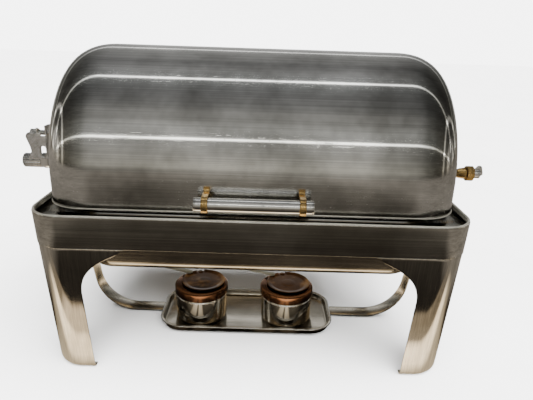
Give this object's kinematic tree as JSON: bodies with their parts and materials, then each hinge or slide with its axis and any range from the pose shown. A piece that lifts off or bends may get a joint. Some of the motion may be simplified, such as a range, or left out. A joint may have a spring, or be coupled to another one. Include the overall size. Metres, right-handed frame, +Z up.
{
  "type": "chafing dish food warmer",
  "caption": "Roll-top chafing dish: barrel cover with handle on a pivot, food pan in a water pan, sheet-leg stand, and gel burners on a tray under it.",
  "frame": {"origin": "on the floor under the middle of the object's box", "axes": "+X along the dish to the right as the guest sees it, -Y towards the guest, +Z up"},
  "size_m": [0.816, 0.4372, 0.482],
  "materials": {
    "frame_steel": "brushed stainless steel, worn",
    "cover_steel": "brushed stainless steel with polishing scratches",
    "pan_steel": "satin stainless steel",
    "polished_steel": "polished stainless steel",
    "brass": "aged brass",
    "tinted_steel": "steel browned by heat",
    "fuel_can": "plain tin, no label",
    "dark_steel": "dark fluted steel"
  },
  "bodies": {
    "frame": {"frame_band": "frame_steel", "leg_front_left": "frame_steel", "leg_rear_left": "frame_steel", "leg_front_right": "frame_steel", "leg_rear_right": "frame_steel", "burner_strap": "frame_steel", "pan_carrier": "frame_steel", "brass_hex_nut": "brass", "brass_collar": "brass", "lock_bracket": "frame_steel", "lock_nut": "polished_steel", "bracket_top_screw": "polished_steel", "pivot_stud_left": "polished_steel", "stud_nut_left": "polished_steel", "end_bracket_left": "frame_steel", "pivot_sleeve_left": "polished_steel", "strap_rivet_left_front": "polished_steel", "strap_rivet_left_rear": "polished_steel", "bracket_screw_left_front": "polished_steel", "bracket_screw_left_rear": "polished_steel", "pivot_stud_right": "polished_steel", "stud_nut_right": "polished_steel", "end_bracket_right": "frame_steel", "pivot_sleeve_right": "polished_steel", "strap_rivet_right_front": "polished_steel", "strap_rivet_right_rear": "polished_steel", "bracket_screw_right_front": "polished_steel", "bracket_screw_right_rear": "polished_steel"},
    "cover": {"cover_shell": "cover_steel", "handle_tube": "polished_steel", "cover_bush_left": "brass", "cover_bush_right": "brass", "handle_cap_left": "polished_steel", "handle_cap_right": "polished_steel", "handle_arm_left": "brass", "handle_arm_right": "brass"},
    "clamp_lever": {"clamp_lever": "polished_steel"},
    "end_knob": {"end_knob": "dark_steel"},
    "lock_bolt": {"lock_bolt": "polished_steel", "bolt_knob": "dark_steel"},
    "water_pan": {"water_pan": "pan_steel"},
    "food_pan": {"food_pan": "polished_steel"},
    "burner_tray": {"burner_tray": "pan_steel"},
    "burner_left": {"burner_cup_left": "polished_steel", "fuel_can_left": "fuel_can"},
    "burner_lid_left": {"burner_lid_left": "tinted_steel", "shutter_rivet_left": "polished_steel"},
    "shutter_left": {"shutter_left": "tinted_steel", "shutter_lever_left": "polished_steel"},
    "burner_right": {"burner_cup_right": "polished_steel", "fuel_can_right": "fuel_can"},
    "burner_lid_right": {"burner_lid_right": "tinted_steel", "shutter_rivet_right": "polished_steel"},
    "shutter_right": {"shutter_right": "tinted_steel", "shutter_lever_right": "polished_steel"}
  },
  "joints": [
    {"name": "cover_roll", "type": "hinge", "parent": "frame", "child": "cover", "pos_m": [0, 0.00565, 0.28], "axis": [-1, 0, 0], "range_deg": [0, 80]},
    {"name": "clamp_lever_turn", "type": "hinge", "parent": "frame", "child": "clamp_lever", "pos_m": [0, 0.00565, 0.28], "axis": [1, 0, 0], "range_deg": [-45, 45]},
    {"name": "end_knob_turn", "type": "hinge", "parent": "frame", "child": "end_knob", "pos_m": [0, 0.00565, 0.28], "axis": [1, 0, 0], "range_deg": [-180, 180]},
    {"name": "lock_bolt_slide", "type": "slide", "parent": "frame", "child": "lock_bolt", "axis": [1, 0, 0], "range_m": [0, 0.009]},
    {"name": "water_pan_lift", "type": "slide", "parent": "frame", "child": "water_pan", "axis": [0, 0, 1], "range_m": [0, 0.012]},
    {"name": "food_pan_lift", "type": "slide", "parent": "water_pan", "child": "food_pan", "axis": [0, 0, 1], "range_m": [0, 0.048]},
    {"name": "burner_tray_pull", "type": "slide", "parent": "frame", "child": "burner_tray", "axis": [0, -1, 0], "range_m": [0, 0.3]},
    {"name": "burner_lift_left", "type": "slide", "parent": "burner_tray", "child": "burner_left", "axis": [0, 0, 1], "range_m": [0, 0.056]},
    {"name": "burner_lid_lift_left", "type": "slide", "parent": "burner_left", "child": "burner_lid_left", "axis": [0, 0, 1], "range_m": [0, 0.018]},
    {"name": "shutter_swing_left", "type": "hinge", "parent": "burner_lid_left", "child": "shutter_left", "pos_m": [-0.0981, -0.00693, 0.074], "axis": [0, 0, -1], "range_deg": [0, 75]},
    {"name": "burner_lift_right", "type": "slide", "parent": "burner_tray", "child": "burner_right", "axis": [0, 0, 1], "range_m": [0, 0.056]},
    {"name": "burner_lid_lift_right", "type": "slide", "parent": "burner_right", "child": "burner_lid_right", "axis": [0, 0, 1], "range_m": [0, 0.018]},
    {"name": "shutter_swing_right", "type": "hinge", "parent": "burner_lid_right", "child": "shutter_right", "pos_m": [0.0569, -0.00693, 0.074], "axis": [0, 0, -1], "range_deg": [0, 75]}
  ]
}
